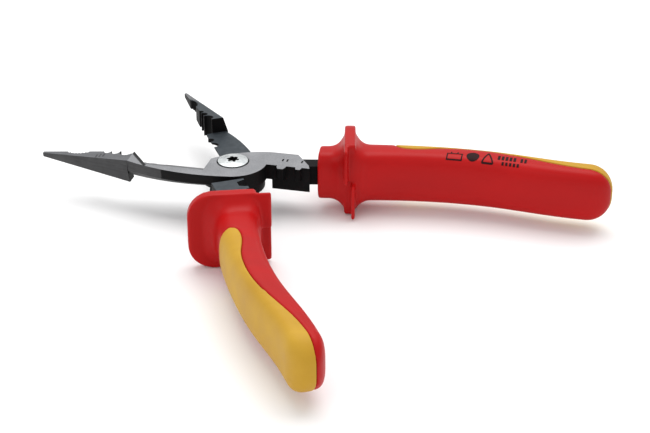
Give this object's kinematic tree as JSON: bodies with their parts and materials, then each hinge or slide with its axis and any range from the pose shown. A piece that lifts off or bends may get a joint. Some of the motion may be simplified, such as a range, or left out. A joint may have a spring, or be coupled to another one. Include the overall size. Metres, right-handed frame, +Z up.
{
  "type": "insulated multi-purpose pliers",
  "caption": "Insulated long-nose installation pliers with serrated jaws, wire cutter, stripping hole, crimping block, screwed pivot and guarded two-colour grips.",
  "frame": {"origin": "on the pivot axis, at the end face of the pivot nut on the underside of the joint", "axes": "+X from the pivot along the closing line of the upper lever, towards its grip; +Z up along the pivot axis, out of the bolt's head; +Y to the side where the upper lever's grip bows out"},
  "size_m": [0.1988, 0.1776, 0.0269],
  "materials": {
    "ground_steel": "ground and blasted satin top faces, black oxide sides",
    "dark_steel": "black oxide with a satin sheen",
    "plated_bolt": "bright plated, lightly brushed",
    "red_plastic": "fine moulded satin",
    "yellow_plastic": "soft moulded satin"
  },
  "bodies": {
    "upper_half": {"upper_lever": "ground_steel", "upper_inner_sleeve": "yellow_plastic", "upper_grip_shell": "red_plastic", "upper_grip_inlay": "yellow_plastic"},
    "lower_half": {"lower_lever": "dark_steel", "pivot_bolt": "plated_bolt", "pivot_nut": "dark_steel", "lower_inner_sleeve": "yellow_plastic", "lower_grip_shell": "red_plastic", "lower_grip_inlay": "yellow_plastic"}
  },
  "joints": [
    {"name": "pivot", "type": "hinge", "parent": "upper_half", "child": "lower_half", "pos_m": [0, 0, 0.005], "axis": [0, 0, 1], "range_deg": [-4, 58.4]}
  ]
}
